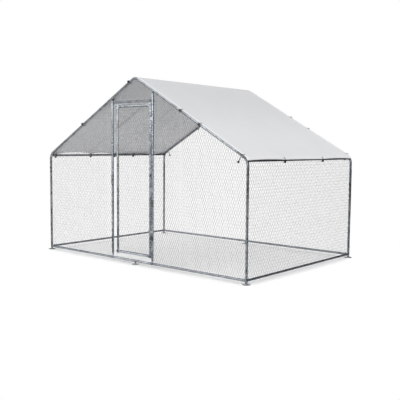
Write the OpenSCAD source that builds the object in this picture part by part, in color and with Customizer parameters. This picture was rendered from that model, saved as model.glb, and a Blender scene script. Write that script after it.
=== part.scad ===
// Walk-in chicken run: a bolted frame of galvanised tube, hexagonal netting, a hinged door
// and a cover held to the roof by ball bungees. Units are millimetres and +Z is up.
// The origin is on the ground at the middle of the run, and the door end faces -Y.

/* [Frame] */
// Width of the gable end between the post centres
run_w = 3000; // [2400:10:4000]
// Depth of the run between the post centres
run_d = 2000; // [1500:10:4000]
// Height where the lines of the two rafters would cross
peak_h = 2012; // [1900:1:2300]
// Height where the lines of a post and a rafter would cross
eave_h = 1168; // [1000:1:1400]
// Outside diameter of the frame tube
tube_d = 25; // [22:0.5:28]
// Wall of the frame tube
tube_wall = 1.2; // [1:0.1:1.6]
// Height of the base rails' centre line
base_h = 38; // [30:1:60]
// Bend radius of the eave elbows
elbow_r = 110; // [60:1:140]
// Straight leg of an eave elbow beyond its bend
elbow_leg = 70; // [40:1:100]
// Bend radius of the ridge elbows
ridge_r = 80; // [60:1:140]
// Straight leg of a ridge elbow beyond its bend
ridge_leg = 60; // [40:1:100]

/* [Joints] */
// Length of a swaged spigot inside the tube it carries
spigot_len = 45; // [35:1:60]
// Length of the cone between a tube and its spigot
neck_len = 3; // [2:0.5:6]
// Extra wall of a bent tube, on each face, where the straight legs run into it
bend_skin = 0.05; // [0.04:0.01:0.2]
// Overlap of a straight leg and its bend
bend_lap = 1; // [0.5:0.1:2]
// Clearance between a spigot and the tube round it
fit_gap = 0.2; // [0.1:0.05:0.3]
// Clearance between a part and the tube it lies on
seat_gap = 0.3; // [0.2:0.05:0.4]
// Gap between the end of a rail and the tube it meets
rail_gap = 0.5; // [0.3:0.1:1]
// Distance of a joint screw from the end of the outer tube
screw_inset = 22; // [15:1:30]
// Diameter of the joint screws
screw_d = 5; // [4:0.5:6]
// Length of the joint screws under the head
screw_len = 9; // [6:1:10]
// Diameter of the through bolts
bolt_d = 6; // [5:0.5:7]
// Clearance round a screw or bolt in its hole
hole_gap = 0.3; // [0.2:0.05:0.5]

/* [Feet] */
// Diameter of a foot plate
plate_d = 82; // [76:1:120]
// Thickness of a foot plate
plate_t = 3; // [2:0.5:5]
// Height of a corner foot's upright below its spigot
foot_h = 100; // [80:1:140]
// Diameter of the stake holes
stake_d = 9; // [6:0.5:10]
// Distance of a stake hole from the centre of its plate
stake_inset = 28; // [26:0.5:31]
// Length of a middle foot's sleeve between the base rails
sleeve_len = 40; // [30:1:80]
// Diameter of a middle foot's stem
stem_d = 18; // [12:1:20]

/* [Doorway] */
// Distance of the latch-side door post from the middle of the gable
latch_post_x = 365; // [330:1:500]
// Distance of the hinge-side door post from the middle of the gable
hinge_post_x = 260; // [200:1:400]
// Clearance between the header's flattened end and the bent top of the door post
header_gap = 2; // [1:0.5:20]
// Width of a flattened tube end
tab_w = 32; // [28:1:34]
// Thickness of a flattened tube end
tab_t = 2.4; // [2:0.1:3]
// Distance from a tab's bolt to the start of the round tube
tab_len = 31; // [28:1:36]
// Distance from a tab's bolt to the end of its flat part
flat_len = 18; // [17:0.5:20]

/* [Door] */
// Distance of the hinge stile from the hinge-side post
hinge_gap = 32; // [30:0.5:40]
// Distance of the latch stile from the latch-side post
latch_gap = 85; // [70:1:95]
// Height of the door's bottom rail
door_bottom_h = 115; // [90:1:160]
// Distance of the door's top rail below the header
door_head = 45; // [42:1:80]
// Length of a stile past the rail at its end
stile_end = 19; // [18:0.5:22]
// Height of the lower hinge
lower_hinge_h = 380; // [250:1:600]
// Distance of the upper hinge below the door's top rail
upper_hinge_drop = 142; // [100:1:300]
// Height of a hinge strap
hinge_h = 26; // [20:1:40]
// Thickness of a hinge strap
hinge_t = 2.5; // [2:0.1:3]
// Clearance between a hinge strap and the tubes in it
hinge_clear = 0.4; // [0.2:0.05:0.6]

/* [Latch] */
// Height of the latch button's pivot
latch_h = 950; // [800:1:1150]
// Width of the latch button
button_w = 20; // [16:1:24]
// Thickness of the latch button
button_t = 3; // [2:0.5:5]
// Reach of the latch button past the door's stile when it is turned across
button_over = 12; // [6:1:30]
// Height of the turned-up lip at the latch button's free end
button_lip = 9; // [5:0.5:14]

/* [Netting] */
// Width of a netting cell, drawn several real cells wide
cell_w = 200; // [160:5:300]
// Pitch of the netting rows, drawn several real rows high
cell_row = 136; // [110:2:200]
// Thickness of the netting wires
net_wire = 1.6; // [1.2:0.1:2]
// Gap between the netting under a rafter and the rafter's centre line
net_drop = 26; // [24:1:40]
// Gap between the top of the side netting and the eave rail's centre line
side_drop = 30; // [28:1:60]
// Gap between the roof netting and the centre line of a rafter or an eave rail
roof_margin = 28; // [24:1:60]
// Gap between the netting and a door post's centre line
post_margin = 19; // [18.5:0.5:20]
// Gap between the door netting and the line that touches the door's rails
door_net_gap = 0.5; // [0.4:0.1:0.9]
// Diameter of a wire tie's wire
tie_wire = 1.6; // [1:0.1:2]

/* [Cover] */
// Thickness of the cover
cover_t = 1.5; // [1:0.1:3]
// Gap between the cover and the rafters under it
cover_seat = 0.7; // [0.5:0.05:0.9]
// Bend radius of the cover's fold above the eave, at the rafter's centre line
fold_r = 15; // [10:1:16]
// Distance from an eyelet's centre to the edge of the cover
cover_hem = 24; // [18:1:30]
// Inside diameter of an eyelet
eyelet_d = 7; // [6:0.5:9]
// Width of an eyelet's flange
eyelet_flange = 5; // [4:0.5:6]
// Thickness of an eyelet's metal
eyelet_t = 1; // [0.6:0.1:1.2]
// Clearance between an eyelet and the cover
eyelet_gap = 0.2; // [0.1:0.05:0.3]

/* [Bungees] */
// Diameter of the elastic cord
cord_d = 4; // [3:0.5:5]
// Clearance between the elastic cord and the tube it goes round
cord_clear = 2; // [1:0.1:3]
// Diameter of a bungee's ball
ball_d = 24; // [18:1:24]
// Tight bend of the cord over the cover
cord_tight_r = 3.5; // [3:0.5:5]
// Wide bend of the cord under the tube
cord_wide_r = 10; // [8:0.5:12]
// Height of a ball's centre above the tube's centre line
ball_rise = 3.5; // [0:0.5:8]
// Distances of the bungees on the left rafters from the ridge
left_rafter_bungees = [82, 861]; // [80:1:1400]
// Distances of the bungees on the right rafters from the ridge
right_rafter_bungees = [661, 913]; // [80:1:1400]
// Distances of the bungees on the left eave from the door end
left_eave_bungees = [70, 620, 1040, 1376]; // [70:1:1930]
// Distances of the bungees on the right eave from the door end
right_eave_bungees = [620, 1360]; // [70:1:1930]
// Distance of the long corner bungees from the ridge
corner_bungee = 1440; // [1300:1:1440]
// Drop of a corner bungee's ball below the tube's centre line
corner_drop = 62; // [50:1:90]

/* [Hidden] */
$fn = 48;

steel = "silver";
dark_steel = "dimgray";
wire_grey = "lightgray";
cover_grey = "gainsboro";
black = "#202020";

// Frame lines
half_w = run_w / 2;
half_d = run_d / 2;
tube_r = tube_d / 2;
bore_r = tube_r - tube_wall;
spigot_r = bore_r - fit_gap;
pitch = atan((peak_h - eave_h) / half_w);
slope_len = half_w / cos(pitch);
elbow_turn = 90 - pitch;
elbow_tangent = elbow_r * tan(elbow_turn / 2);
ridge_tangent = ridge_r * tan(pitch);
eave_x = half_w - elbow_r * (1 - cos(elbow_turn / 2));
eave_z = eave_h - elbow_tangent + elbow_r * sin(elbow_turn / 2);
ridge_centre_z = peak_h - ridge_r / cos(pitch);
ridge_z = ridge_centre_z + ridge_r;
rail_end = tube_r + rail_gap;

// Where the plain tubes start and end
post_bottom = foot_h + neck_len;
post_top = eave_h - elbow_tangent - elbow_leg - neck_len;
rafter_low = elbow_tangent + elbow_leg + neck_len;
rafter_high = ridge_tangent + ridge_leg + neck_len;

// Doorway and door lines
latch_post = -latch_post_x;
hinge_post = hinge_post_x;
header_h = rafter_z(latch_post) - tab_len - tab_w / 2 - header_gap;
door_top_h = header_h - door_head;
upper_hinge_h = door_top_h - upper_hinge_drop;
latch_stile = latch_post + latch_gap;
hinge_stile = hinge_post - hinge_gap;
hinge_in = tube_r + hinge_clear;
hinge_out = hinge_in + hinge_t;
tab_out = tube_r + seat_gap + tab_t;
bore_d = bolt_d + 2 * hole_gap;

// Netting planes
net_face = tube_r + seat_gap;
wall_top = eave_z - side_drop;
rows = round((wall_top - base_h) / cell_row);
row = (wall_top - base_h) / rows;
roof_tilt = atan((ridge_z - eave_z) / eave_x);
roof_run = eave_x / cos(roof_tilt);
tie_wire_r = tie_wire / 2;
tie_shift = net_wire / 2 + 1.5 * seat_gap;
corner_tie_shift = 1.2 * tie_shift;
door_net_bottom = door_bottom_h + net_face + door_net_gap;
door_net_h = door_top_h - net_face - door_net_gap - door_net_bottom;
door_rows = round(door_net_h / cell_row);
door_row = door_net_h / door_rows;

// Cover and bungee lines
cover_in = tube_r + cover_seat;
cover_out = cover_in + cover_t;
eave_tilt = pitch + elbow_turn / 2;
eave_flat = (elbow_r - fold_r) * tan(elbow_turn / 4);
cord_r = cord_d / 2;
ball_r = ball_d / 2;
cord_in = tube_r + cord_r + cord_clear;
cord_out = tube_r + ball_r + seat_gap;
long_out = net_face + net_wire + ball_r + seat_gap;
eyelet_r = eyelet_d / 2;
eyelet_barrel_r = eyelet_r + eyelet_t;
cover_edge = cover_hem - cord_in;
ridge_steps = 6;
fold_steps = 4;

// Helpers

module aim(direction) {
    rotate([0, acos(direction.z / norm(direction)), atan2(direction.y, direction.x)]) children();
}

// Section of a bent tube
module bend_profile() {
    difference() {
        circle(tube_r + bend_skin);
        circle(bore_r - bend_skin);
    }
}

// Plain tube along +Z
module tube(length) {
    rotate_extrude()
        translate([bore_r, 0])
            square([tube_wall, length]);
}

// Spigot along +Z that starts inside the tube it grows out of
module side_spigot() {
    root = 0.4 * tube_r;
    rotate_extrude()
        translate([spigot_r - tube_wall, root])
            square([tube_wall, rail_end + spigot_len - root]);
}

// Tube along +Z with a swaged spigot past its end
module swaged_tube(length) {
    shoulder = length + neck_len;
    tip = shoulder + spigot_len;
    rotate_extrude()
        polygon([
            [bore_r, 0], [tube_r, 0], [tube_r, length], [spigot_r, shoulder], [spigot_r, tip],
            [spigot_r - tube_wall, tip], [spigot_r - tube_wall, shoulder], [bore_r, length]
        ]);
}

// Flattened tube end: the bolt is at the origin, the tube comes from -Z and the tab lies towards +Y
module flat_end() {
    slice = 1;
    inset = 0.2;
    translate([0, tab_out - tab_t, 0])
        rotate([-90, 0, 0])
            linear_extrude(height = tab_t)
                union() {
                    circle(tube_r);
                    polygon([[-tube_r, 0], [tube_r, 0], [tab_w / 2, flat_len], [-tab_w / 2, flat_len]]);
                }
    hull() {
        translate([0, 0, -tab_len - slice]) cylinder(r = tube_r - inset, h = slice, $fn = 32);
        translate([-tab_w / 2, tab_out - tab_t, -flat_len - slice]) cube([tab_w, tab_t, slice]);
    }
}

// Frame positions

// Point on a rafter's centre line, at a distance from the ridge across the gable
function rafter_point(side, end, across) =
    [side * across, end * half_d, peak_h - across * tan(pitch)];

// Height of a rafter's centre line above a point of the gable
function rafter_z(x) = peak_h - abs(x) * tan(pitch);

// Joint screws: point on the tube's centre line, and the side that the head is on
screw_seats = [
    for (side = [-1, 1], end = [-1, 1]) each [
        [[side * half_w, end * half_d, post_bottom + screw_inset], [side, end, 0]],
        [[side * half_w, end * half_d, post_top - screw_inset], [side, end, 0]],
        [rafter_point(side, end, half_w - (rafter_low + screw_inset) * cos(pitch)), [0, end, 0]],
        [rafter_point(side, end, (rafter_high + screw_inset) * cos(pitch)), [0, end, 0]],
        [[side * (half_w - rail_end - screw_inset), end * half_d, base_h], [0, 0, 1]],
        [[side * (sleeve_len / 2 + rail_gap + screw_inset), end * half_d, base_h], [0, 0, 1]],
        [[side * half_w, end * (half_d - rail_end - screw_inset), base_h], [0, 0, 1]],
        [[side * eave_x, end * (half_d - rail_end - screw_inset), eave_z], [0, 0, -1]]
    ],
    for (end = [-1, 1]) [[0, end * (half_d - rail_end - screw_inset), ridge_z], [0, 0, -1]]
];

// Through bolts along Y: centre of the tube, reach of the stack in front of it and behind it
frame_bolt_seats = [
    for (x = [latch_post, hinge_post]) each [
        [[x, -half_d, base_h], tab_out, tube_r],
        [[x, -half_d, rafter_z(x)], tube_r, tab_out],
        [[x, -half_d, header_h], tube_r, tab_out]
    ],
    [[latch_post, -half_d, latch_h], tube_r + seat_gap + button_t, tube_r]
];

door_bolt_seats = [
    for (x = [latch_stile, hinge_stile], z = [door_bottom_h, door_top_h])
        [[x, -half_d, z], tab_out, tube_r],
    for (z = [lower_hinge_h, upper_hinge_h]) [[hinge_stile, -half_d, z], hinge_out, hinge_out]
];

module screw_holes() {
    for (seat = screw_seats)
        translate(seat[0])
            aim(seat[1])
                cylinder(d = screw_d + 2 * hole_gap, h = tube_r + 1);
}

module bolt_holes(seats) {
    for (seat = seats)
        translate(seat[0])
            rotate([90, 0, 0])
                cylinder(d = bore_d, h = 2 * tab_out + 4, center = true);
}

module drilled() {
    difference() {
        children();
        screw_holes();
    }
}

module bolted(seats) {
    difference() {
        children();
        bolt_holes(seats);
    }
}

// Fasteners

module screw() {
    flange_t = 1;
    head_h = 4;
    translate([0, 0, tube_r + seat_gap]) {
        cylinder(r = screw_d, h = flange_t);
        cylinder(r = 0.8 * screw_d, h = head_h, $fn = 6);
    }
    translate([0, 0, tube_r + seat_gap - screw_len]) cylinder(d = screw_d, h = screw_len + flange_t / 2);
}

// Bolt head towards -Y with its nut on the far side
module bolt_and_nut(front, back) {
    head_h = 4;
    nut_h = 5;
    head_r = 0.95 * bolt_d;
    lap = 0.5;
    tail = 1;
    translate([0, -front - seat_gap, 0])
        rotate([90, 0, 0])
            cylinder(r = head_r, h = head_h, $fn = 6);
    translate([0, -front - seat_gap - lap, 0])
        rotate([-90, 0, 0])
            cylinder(d = bolt_d, h = lap + front + back + 2 * seat_gap + nut_h + tail);
    translate([0, back + seat_gap, 0])
        rotate([-90, 0, 0])
            difference() {
                cylinder(r = head_r, h = nut_h, $fn = 6);
                translate([0, 0, -1]) cylinder(d = bolt_d + hole_gap, h = nut_h + 2);
            }
}

module frame_screws() {
    color(dark_steel)
        for (seat = screw_seats)
            translate(seat[0])
                aim(seat[1])
                    screw();
}

module frame_bolts() {
    color(dark_steel)
        for (seat = frame_bolt_seats)
            translate(seat[0])
                bolt_and_nut(seat[1], seat[2]);
}

// Feet

module foot_plate(holes) {
    difference() {
        cylinder(d = plate_d, h = plate_t);
        for (hole = holes)
            translate([hole.x, hole.y, -1])
                cylinder(d = stake_d, h = plate_t + 2);
    }
}

module corner_foot(side, end) {
    diagonal = stake_inset / sqrt(2);
    color(steel)
        drilled()
            translate([side * half_w, end * half_d, 0])
                union() {
                    foot_plate([[side, end] * diagonal, [-side, -end] * diagonal]);
                    translate([0, 0, plate_t]) swaged_tube(foot_h - plate_t);
                    translate([0, 0, base_h]) aim([-side, 0, 0]) side_spigot();
                    translate([0, 0, base_h]) aim([0, -end, 0]) side_spigot();
                }
}

module middle_foot(end) {
    color(steel)
        drilled()
            translate([0, end * half_d, 0])
                union() {
                    foot_plate([[0, stake_inset], [0, -stake_inset]]);
                    translate([0, 0, plate_t]) cylinder(d = stem_d, h = base_h - tube_r + tube_wall / 2 - plate_t);
                    translate([0, 0, base_h])
                        rotate([0, 90, 0])
                            translate([0, 0, -sleeve_len / 2])
                                middle_sleeve();
                }
}

// Sleeve along +Z with a spigot at each end
module middle_sleeve() {
    tip = rail_gap + spigot_len;
    rotate_extrude()
        polygon([
            [spigot_r - tube_wall, -tip], [spigot_r, -tip], [spigot_r, 0], [tube_r, 0],
            [tube_r, sleeve_len], [spigot_r, sleeve_len], [spigot_r, sleeve_len + tip],
            [spigot_r - tube_wall, sleeve_len + tip]
        ]);
}

module front_left_foot() { corner_foot(-1, -1); }
module front_right_foot() { corner_foot(1, -1); }
module back_left_foot() { corner_foot(-1, 1); }
module back_right_foot() { corner_foot(1, 1); }
module front_middle_foot() { middle_foot(-1); }
module back_middle_foot() { middle_foot(1); }

// Posts, elbows and rafters

module corner_post(side, end) {
    color(steel)
        drilled()
            translate([side * half_w, end * half_d, post_bottom])
                tube(post_top - post_bottom);
}

module eave_elbow(side, end) {
    color(steel)
        drilled()
            translate([side * half_w, end * half_d, eave_h])
                mirror([side > 0 ? 0 : 1, 0, 0])
                    union() {
                        translate([-elbow_r, 0, -elbow_tangent])
                            rotate([90, 0, 0])
                                rotate_extrude(angle = elbow_turn)
                                    translate([elbow_r, 0])
                                        bend_profile();
                        translate([0, 0, bend_lap - elbow_tangent])
                            rotate([180, 0, 0])
                                swaged_tube(elbow_leg + bend_lap);
                        rotate([0, -elbow_turn, 0])
                            translate([0, 0, elbow_tangent - bend_lap])
                                swaged_tube(elbow_leg + bend_lap);
                        translate([eave_x - half_w, 0, eave_z - eave_h])
                            aim([0, -end, 0])
                                side_spigot();
                    }
}

module rafter(side, end) {
    color(steel)
        bolted(frame_bolt_seats)
            drilled()
                translate([side * half_w, end * half_d, eave_h])
                    rotate([0, -side * elbow_turn, 0])
                        translate([0, 0, rafter_low])
                            tube(slope_len - rafter_low - rafter_high);
}

module ridge_elbow(end) {
    color(steel)
        drilled()
            translate([0, end * half_d, 0])
                union() {
                    translate([0, 0, ridge_centre_z])
                        rotate([90, 0, 0])
                            rotate([0, 0, 90 - pitch])
                                rotate_extrude(angle = 2 * pitch)
                                    translate([ridge_r, 0])
                                        bend_profile();
                    for (side = [-1, 1])
                        translate([0, 0, peak_h])
                            rotate([0, side * (90 + pitch), 0])
                                translate([0, 0, ridge_tangent - bend_lap])
                                    swaged_tube(ridge_leg + bend_lap);
                    translate([0, 0, ridge_z]) aim([0, -end, 0]) side_spigot();
                }
}

module front_left_post() { corner_post(-1, -1); }
module front_right_post() { corner_post(1, -1); }
module back_left_post() { corner_post(-1, 1); }
module back_right_post() { corner_post(1, 1); }
module front_left_elbow() { eave_elbow(-1, -1); }
module front_right_elbow() { eave_elbow(1, -1); }
module back_left_elbow() { eave_elbow(-1, 1); }
module back_right_elbow() { eave_elbow(1, 1); }
module front_left_rafter() { rafter(-1, -1); }
module front_right_rafter() { rafter(1, -1); }
module back_left_rafter() { rafter(-1, 1); }
module back_right_rafter() { rafter(1, 1); }
module front_ridge_elbow() { ridge_elbow(-1); }
module back_ridge_elbow() { ridge_elbow(1); }

// Rails

// Rail from the front to the back of the run
module long_rail(x, z) {
    color(steel)
        drilled()
            translate([x, -half_d + rail_end, z])
                aim([0, 1, 0])
                    tube(run_d - 2 * rail_end);
}

// Half of a base rail across the gable
module half_rail(side, end) {
    start = sleeve_len / 2 + rail_gap;
    color(steel)
        bolted(frame_bolt_seats)
            drilled()
                translate([side * start, end * half_d, base_h])
                    aim([side, 0, 0])
                        tube(half_w - rail_end - start);
}

module ridge_pole() { long_rail(0, ridge_z); }
module left_eave_rail() { long_rail(-eave_x, eave_z); }
module right_eave_rail() { long_rail(eave_x, eave_z); }
module left_base_rail() { long_rail(-half_w, base_h); }
module right_base_rail() { long_rail(half_w, base_h); }
module front_base_rail_left() { half_rail(-1, -1); }
module front_base_rail_right() { half_rail(1, -1); }
module back_base_rail_left() { half_rail(-1, 1); }
module back_base_rail_right() { half_rail(1, 1); }

// Doorway: the posts are bolted in front of the base rail and behind the rafter

module door_post(x) {
    color(steel)
        bolted(frame_bolt_seats)
            translate([x, -half_d, 0])
                union() {
                    translate([0, 0, base_h]) rotate([180, 0, 0]) flat_end();
                    translate([0, 0, base_h + tab_len]) tube(rafter_z(x) - base_h - 2 * tab_len);
                    translate([0, 0, rafter_z(x)]) flat_end();
                }
}

// Tube across two uprights, with its ends bolted to one side of them
module cross_rail(x0, x1, z, tab_side, seats) {
    color(steel)
        bolted(seats)
            translate([0, -half_d, z])
                mirror([0, tab_side > 0 ? 0 : 1, 0])
                    union() {
                        translate([x1, 0, 0]) rotate([0, 90, 0]) flat_end();
                        translate([x0, 0, 0]) rotate([0, -90, 0]) flat_end();
                        translate([x0 + tab_len, 0, 0])
                            aim([1, 0, 0])
                                tube(x1 - x0 - 2 * tab_len);
                    }
}

module left_door_post() { door_post(latch_post); }
module right_door_post() { door_post(hinge_post); }
module door_header() { cross_rail(latch_post, hinge_post, header_h, 1, frame_bolt_seats); }

// Door

module stile(x) {
    color(steel)
        bolted(door_bolt_seats)
            translate([x, -half_d, door_bottom_h - stile_end])
                tube(door_top_h - door_bottom_h + 2 * stile_end);
}

// Strap bent round the hinge post, with both tails bolted to the stile
module hinge(z) {
    tail = hinge_gap + tube_r;
    color(dark_steel)
        bolted(door_bolt_seats)
            translate([hinge_post, -half_d, z - hinge_h / 2])
                linear_extrude(height = hinge_h)
                    difference() {
                        union() {
                            circle(hinge_out);
                            translate([-tail, -hinge_out]) square([tail, 2 * hinge_out]);
                        }
                        circle(hinge_in);
                        translate([-tail - 1, -hinge_in]) square([tail + 1, 2 * hinge_in]);
                    }
}

module door_hinge_stile() { stile(hinge_stile); }
module door_latch_stile() { stile(latch_stile); }
module door_top_rail() { cross_rail(latch_stile, hinge_stile, door_top_h, -1, door_bolt_seats); }
module door_bottom_rail() { cross_rail(latch_stile, hinge_stile, door_bottom_h, -1, door_bolt_seats); }
module upper_hinge() { hinge(upper_hinge_h); }
module lower_hinge() { hinge(lower_hinge_h); }

module door_bolts() {
    color(dark_steel)
        for (seat = door_bolt_seats)
            translate(seat[0])
                bolt_and_nut(seat[1], seat[2]);
}

// Turn button on the latch-side post, which hangs down and is turned across the stile
module latch_button() {
    reach = latch_gap + button_over;
    color(dark_steel)
        bolted(frame_bolt_seats)
            translate([latch_post, -half_d - tube_r - seat_gap, latch_h])
                rotate([90, 0, 0])
                    union() {
                        linear_extrude(height = button_t)
                            hull() {
                                circle(d = button_w);
                                translate([0, -reach + button_w / 2]) circle(d = button_w);
                            }
                        translate([-button_w / 4, -reach + button_t / 2, 0])
                            cube([button_w / 2, button_t, button_t + button_lip]);
                    }
}

// Netting

// Outline of a panel under the rafters, between two uprights
function gable_outline(x0, x1, z0, drop) = concat(
    [[x0, z0], [x1, z0], [x1, rafter_z(x1) - drop / cos(pitch)]],
    x0 < 0 && x1 > 0 ? [[0, peak_h - drop / cos(pitch)]] : [],
    [[x0, rafter_z(x0) - drop / cos(pitch)]]
);

function box_outline(x0, x1, z0, z1) = [[x0, z0], [x1, z0], [x1, z1], [x0, z1]];

// Number of whole cells that fill a width
function columns(width) = max(1, round(width / cell_w));

module cell_hole(width, height) {
    side = width / 2 - net_wire / 2;
    point = 2 * height / 3 - net_wire / 2;
    polygon([[0, point], [side, height / 3], [side, -height / 3],
        [0, -point], [-side, -height / 3], [-side, height / 3]]);
}

// Hexagonal netting with a border wire, whose first cell is centred on the lower left corner
module net(outline, inside, x0, x1, z0, z1, height) {
    width = (x1 - x0) / columns(x1 - x0);
    linear_extrude(height = net_wire)
        difference() {
            polygon(outline);
            intersection() {
                polygon(inside);
                union()
                    for (i = [0 : ceil((z1 - z0) / height)], j = [0 : columns(x1 - x0)])
                        translate([x0 + (j + (i % 2) / 2) * width, z0 + i * height])
                            cell_hole(width, height);
            }
        }
}

module gable_net(x0, x1, z0) {
    rotate([90, 0, 0])
        net(gable_outline(x0, x1, z0, net_drop),
            gable_outline(x0 + net_wire, x1 - net_wire, z0 + net_wire, net_drop + net_wire),
            x0, x1, z0, peak_h, row);
}

module box_net(x0, x1, z0, z1, height) {
    net(box_outline(x0, x1, z0, z1),
        box_outline(x0 + net_wire, x1 - net_wire, z0 + net_wire, z1 - net_wire),
        x0, x1, z0, z1, height);
}

module front_left_netting() {
    color(wire_grey)
        translate([0, -half_d - net_face, 0])
            gable_net(-half_w, latch_post - post_margin, base_h);
}

module front_right_netting() {
    color(wire_grey)
        translate([0, -half_d - net_face, 0])
            gable_net(hinge_post + post_margin, half_w, base_h);
}

module gable_netting() {
    color(wire_grey)
        translate([0, -half_d - net_face, 0])
            gable_net(latch_post + post_margin, hinge_post - post_margin, header_h);
}

module back_netting() {
    color(wire_grey)
        translate([0, half_d + net_face + net_wire, 0])
            gable_net(-half_w, half_w, base_h);
}

module side_netting(side) {
    color(wire_grey)
        translate([side * (half_w + net_face + net_wire / 2) - net_wire / 2, 0, 0])
            rotate([90, 0, 90])
                box_net(-half_d, half_d, base_h, wall_top, row);
}

module left_netting() { side_netting(-1); }
module right_netting() { side_netting(1); }

// The roof netting lies on the ridge pole and runs down between the rafters
module roof_netting(side) {
    reach = half_d - roof_margin;
    color(wire_grey)
        mirror([side > 0 ? 0 : 1, 0, 0])
            translate([0, 0, ridge_z])
                rotate([0, roof_tilt, 0])
                    translate([0, 0, net_face])
                        box_net(0, roof_run - roof_margin, -reach, reach, 2 * reach / round(2 * reach / cell_row));
}

module roof_left_netting() { roof_netting(-1); }
module roof_right_netting() { roof_netting(1); }

module door_netting() {
    color(wire_grey)
        translate([0, -half_d + net_wire / 2, 0])
            rotate([90, 0, 0])
                box_net(latch_stile + net_face, hinge_stile - net_face,
                    door_net_bottom, door_net_bottom + door_net_h, door_row);
}

// Wire ring round a tube and the border wires on it, set off towards those wires
module tie(point, axis, towards, shift) {
    radius = tube_r + seat_gap + shift + tie_wire_r;
    translate(point + towards / norm(towards) * shift)
        aim(axis)
            rotate_extrude()
                translate([radius, 0])
                    circle(tie_wire_r, $fn = 24);
}

// The ties go where a cell is open at the border: at every second row, or at a column
module netting_ties() {
    up = [0, 0, 1];
    front = [0, -1, 0];
    left_end = latch_post - post_margin;
    right_start = hinge_post + post_margin;
    left_cells = columns(left_end + half_w);
    right_cells = columns(half_w - right_start);
    color(wire_grey) {
        for (side = [-1, 1], end = [-1, 1], i = [2 : 2 : rows - 2])
            tie([side * half_w, end * half_d, base_h + i * row], up, [side, end, 0], corner_tie_shift);
        for (j = [1 : 2 : left_cells - 1])
            tie([-half_w + j * (left_end + half_w) / left_cells, -half_d, base_h],
                [1, 0, 0], front, tie_shift);
        for (j = [2 : 2 : right_cells - 1])
            tie([right_start + j * (half_w - right_start) / right_cells, -half_d, base_h],
                [1, 0, 0], front, tie_shift);
        for (j = [1 : 3 : columns(run_w) - 1])
            tie([-half_w + j * run_w / columns(run_w), half_d, base_h], [1, 0, 0], -front, tie_shift);
        for (side = [-1, 1], j = [1 : 3 : columns(run_d) - 1])
            tie([side * half_w, -half_d + j * run_d / columns(run_d), base_h],
                [0, 1, 0], [side, 0, 0], tie_shift);
    }
}

module door_ties() {
    color(wire_grey)
        for (i = [4 : 4 : door_rows - 2], edge = [[latch_stile, 1], [hinge_stile, -1]])
            tie([edge[0], -half_d, door_net_bottom + i * door_row], [0, 0, 1], [edge[1], 0, 0], tie_shift);
}

// Cover and bungees

// Each bungee: point on the tube's centre line, tilt of the cover there, heading
bungee_seats = [
    for (end = [-1, 1]) each [
        for (x = left_rafter_bungees) [rafter_point(-1, end, x), -pitch, end * 90],
        for (x = right_rafter_bungees) [rafter_point(1, end, x), pitch, end * 90]
    ],
    for (y = left_eave_bungees) [[-eave_x, y - half_d, eave_z], -eave_tilt, 180],
    for (y = right_eave_bungees) [[eave_x, y - half_d, eave_z], eave_tilt, 0]
];

// Long bungees, at every corner but the front left one
corner_seats = [
    for (corner = [[1, -1], [1, 1], [-1, 1]])
        [rafter_point(corner[0], corner[1], corner_bungee), corner[0] * pitch, corner[1] * 90]
];

// Frame of a bungee: X points out past the edge of the roof and Y points up from the roof
module at_bungee(seat) {
    translate(seat[0])
        rotate([0, seat[1], 0])
            rotate([0, 0, seat[2]])
                rotate([90, 0, 0])
                    children();
}

module cord_bend(x, y, radius, start) {
    translate([x, y, 0])
        rotate([0, 0, start])
            rotate_extrude(angle = 90)
                translate([radius, 0])
                    circle(cord_r);
}

module cord_run(from, to) {
    translate(from) aim(to - from) cylinder(r = cord_r, h = norm(to - from));
}

// Elastic loop up through the eyelet, over the cover's edge, down through the ball and under the tube
module cord_loop() {
    top = cover_out + eyelet_gap + eyelet_t + cord_r + seat_gap;
    low = -cord_in;
    tight = cord_tight_r;
    wide = cord_wide_r;
    cord_bend(-cord_in + tight, top - tight, tight, 90);
    cord_bend(cord_out - tight, top - tight, tight, 0);
    cord_bend(cord_out - wide, low + wide, wide, 270);
    cord_bend(-cord_in + wide, low + wide, wide, 180);
    cord_run([-cord_in, low + wide, 0], [-cord_in, top - tight, 0]);
    cord_run([-cord_in + tight, top, 0], [cord_out - tight, top, 0]);
    cord_run([cord_out, low + wide, 0], [cord_out, top - tight, 0]);
    cord_run([-cord_in + wide, low, 0], [cord_out - wide, low, 0]);
}

// The same loop drawn out at the front, where both strands run down through a hanging ball
module long_loop() {
    top = cover_out + eyelet_gap + eyelet_t + cord_r + seat_gap;
    low = -cord_in;
    tight = cord_tight_r;
    wide = cord_wide_r;
    front = long_out + tight;
    back = long_out - tight;
    end = -corner_drop - ball_r + tight;
    cord_bend(-cord_in + tight, top - tight, tight, 90);
    cord_bend(front - wide, top - wide, wide, 0);
    cord_bend(long_out, end, tight, 180);
    cord_bend(long_out, end, tight, 270);
    cord_bend(back - tight, low - tight, tight, 0);
    cord_bend(-cord_in + wide, low + wide, wide, 180);
    cord_run([-cord_in, low + wide, 0], [-cord_in, top - tight, 0]);
    cord_run([-cord_in + tight, top, 0], [front - wide, top, 0]);
    cord_run([front, top - wide, 0], [front, end, 0]);
    cord_run([back, end, 0], [back, low - tight, 0]);
    cord_run([-cord_in + wide, low, 0], [back - tight, low, 0]);
}

module bungee_cords() {
    color(black) {
        for (seat = bungee_seats) at_bungee(seat) cord_loop();
        for (seat = corner_seats) at_bungee(seat) long_loop();
    }
}

module ball(bore) {
    rotate([90, 0, 0])
        difference() {
            sphere(ball_r);
            cylinder(r = bore, h = ball_d + 2, center = true);
        }
}

module bungee_balls() {
    color(black) {
        for (seat = bungee_seats)
            at_bungee(seat)
                translate([cord_out, ball_rise, 0])
                    ball(cord_r + hole_gap);
        for (seat = corner_seats)
            at_bungee(seat)
                translate([long_out, -corner_drop, 0])
                    ball(cord_tight_r + cord_r + hole_gap);
    }
}

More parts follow.
